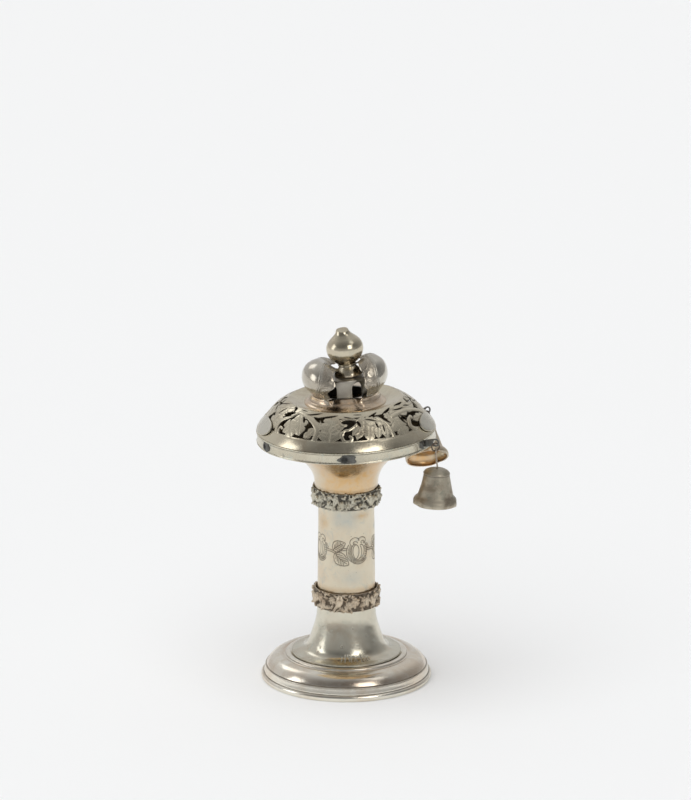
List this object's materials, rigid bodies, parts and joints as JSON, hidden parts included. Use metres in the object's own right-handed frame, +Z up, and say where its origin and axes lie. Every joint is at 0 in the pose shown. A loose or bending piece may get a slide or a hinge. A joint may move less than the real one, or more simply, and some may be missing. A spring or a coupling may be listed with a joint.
{
  "type": "torah finial",
  "caption": "Silver Torah finial: stepped foot, flared stem with cast collars, pierced mushroom canopy with hanging bells, broken openwork crown and leaning knob.",
  "frame": {"origin": "the middle of the bounding box's bottom, in the plane of the foot's underside; the turning axis of foot and stem stands 5.2 mm towards -X of it, because the two bells hang out at +X", "axes": "+Z up along the turning axis, -Y the front, +X the side the bells hang on"},
  "size_m": [0.1056, 0.0942, 0.1917],
  "materials": {
    "foot_silver": "polished silver with a warm reflection, shallow dents",
    "neck_silver": "polished silver, fine scratches and pits",
    "lower_collar_cast_silver": "cast silver, darkened warm brown in the hollows",
    "stem_silver": "satin silver, engraved",
    "upper_collar_cast_silver": "cast silver, darkened in the hollows",
    "flare_silver": "polished silver with traces of gilding",
    "gilt_floor": "fire-gilt silver",
    "rim_silver": "tarnished silver",
    "dome_silver": "pierced and chased silver, tarnished",
    "lappet_silver": "plain polished silver",
    "crown_ring_silver_gilt": "silver with worn gilding",
    "gallery_silver": "dull silver",
    "gore_silver": "chased silver, tarnished",
    "knob_silver": "polished silver, scratched",
    "bell_oxidised": "dark oxidised silver",
    "rear_bell_gilt_inside": "oxidised silver, gilt inside",
    "wire_iron": "dark wire"
  },
  "bodies": {
    "root": {"foot": "foot_silver", "lower_neck": "neck_silver", "lower_collar": "lower_collar_cast_silver", "stem": "stem_silver", "upper_collar": "upper_collar_cast_silver", "upper_flare": "flare_silver", "canopy_floor": "gilt_floor", "rim_band": "rim_silver", "pierced_dome": "dome_silver", "side_lappet_left": "lappet_silver", "side_lappet_right": "lappet_silver", "crown_ring": "crown_ring_silver_gilt", "gallery_drum": "gallery_silver", "crown_gore_left": "gore_silver", "crown_gore_right": "gore_silver", "knob": "knob_silver", "bell_front": "bell_oxidised", "bell_rear": "rear_bell_gilt_inside", "bell_ring_front": "wire_iron", "bell_ring_rear": "wire_iron", "bell_hook_front": "wire_iron", "bell_hook_rear": "wire_iron"}
  },
  "joints": []
}
